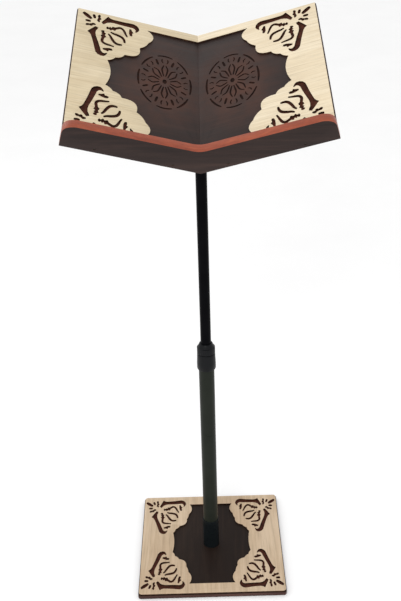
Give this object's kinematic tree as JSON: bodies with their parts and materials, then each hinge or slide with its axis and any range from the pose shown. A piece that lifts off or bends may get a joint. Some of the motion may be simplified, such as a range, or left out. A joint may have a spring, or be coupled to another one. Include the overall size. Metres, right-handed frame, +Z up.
{
  "type": "quran stand",
  "caption": "Free-standing V-shaped book lectern with fretwork overlays on a height-adjustable, swivelling steel pole and a square wooden base.",
  "frame": {"origin": "middle of the base's underside, on the pole's axis, on the floor", "axes": "+Z up the pole, +X to the reader's right, +Y away from the reader"},
  "size_m": [0.4288, 0.3436, 1.095],
  "materials": {
    "wenge_board": "dark wenge laminate, satin, fine grain",
    "maple_fretwork": "pale maple veneer, matt, laser-cut with darkened edges",
    "lip_board": "dark brown front face with mahogany-red satin edges",
    "raw_timber": "bare softwood",
    "black_steel": "black powder coat, satin",
    "grey_steel": "dark grey powder coat, satin",
    "zinc_steel": "zinc plated",
    "black_plastic": "moulded, satin",
    "white_nylon": "moulded, matt"
  },
  "bodies": {
    "base": {"base_board": "wenge_board", "base_overlay": "maple_fretwork", "flange_plate": "black_steel", "flange_screw_1": "zinc_steel", "flange_screw_2": "zinc_steel", "flange_screw_3": "zinc_steel", "flange_screw_4": "zinc_steel", "pole_socket": "black_steel", "socket_screw": "zinc_steel", "lower_tube": "grey_steel", "clutch_body": "black_plastic", "clutch_collet": "white_nylon"},
    "clutch_nut": {"clutch_nut": "black_plastic"},
    "slider": {"guide_bush": "white_nylon"},
    "mast": {"upper_tube": "black_steel", "head_socket": "black_steel", "head_screw": "zinc_steel", "left_saddle_leaf": "black_steel", "right_saddle_leaf": "black_steel", "saddle_screw_left_1": "zinc_steel", "saddle_screw_left_2": "zinc_steel", "saddle_screw_left_3": "zinc_steel", "saddle_screw_left_4": "zinc_steel", "saddle_screw_right_1": "zinc_steel", "saddle_screw_right_2": "zinc_steel", "saddle_screw_right_3": "zinc_steel", "saddle_screw_right_4": "zinc_steel", "left_panel": "wenge_board", "right_panel": "wenge_board", "left_overlay": "maple_fretwork", "right_overlay": "maple_fretwork", "front_lip": "lip_board", "left_batten": "raw_timber", "right_batten": "raw_timber", "lip_nail_left_1": "zinc_steel", "lip_nail_left_2": "zinc_steel", "lip_nail_right_1": "zinc_steel", "lip_nail_right_2": "zinc_steel"}
  },
  "joints": [
    {"name": "clutch_twist", "type": "hinge", "parent": "base", "child": "clutch_nut", "pos_m": [0, 0, 0.496], "axis": [0, 0, 1], "range_deg": [0, 120]},
    {"name": "height_slide", "type": "slide", "parent": "base", "child": "slider", "axis": [0, 0, 1], "range_m": [-0.33, 0.05]},
    {"name": "mast_swivel", "type": "hinge", "parent": "slider", "child": "mast", "pos_m": [0, 0, 0.95], "axis": [0, 0, 1], "continuous": true}
  ]
}
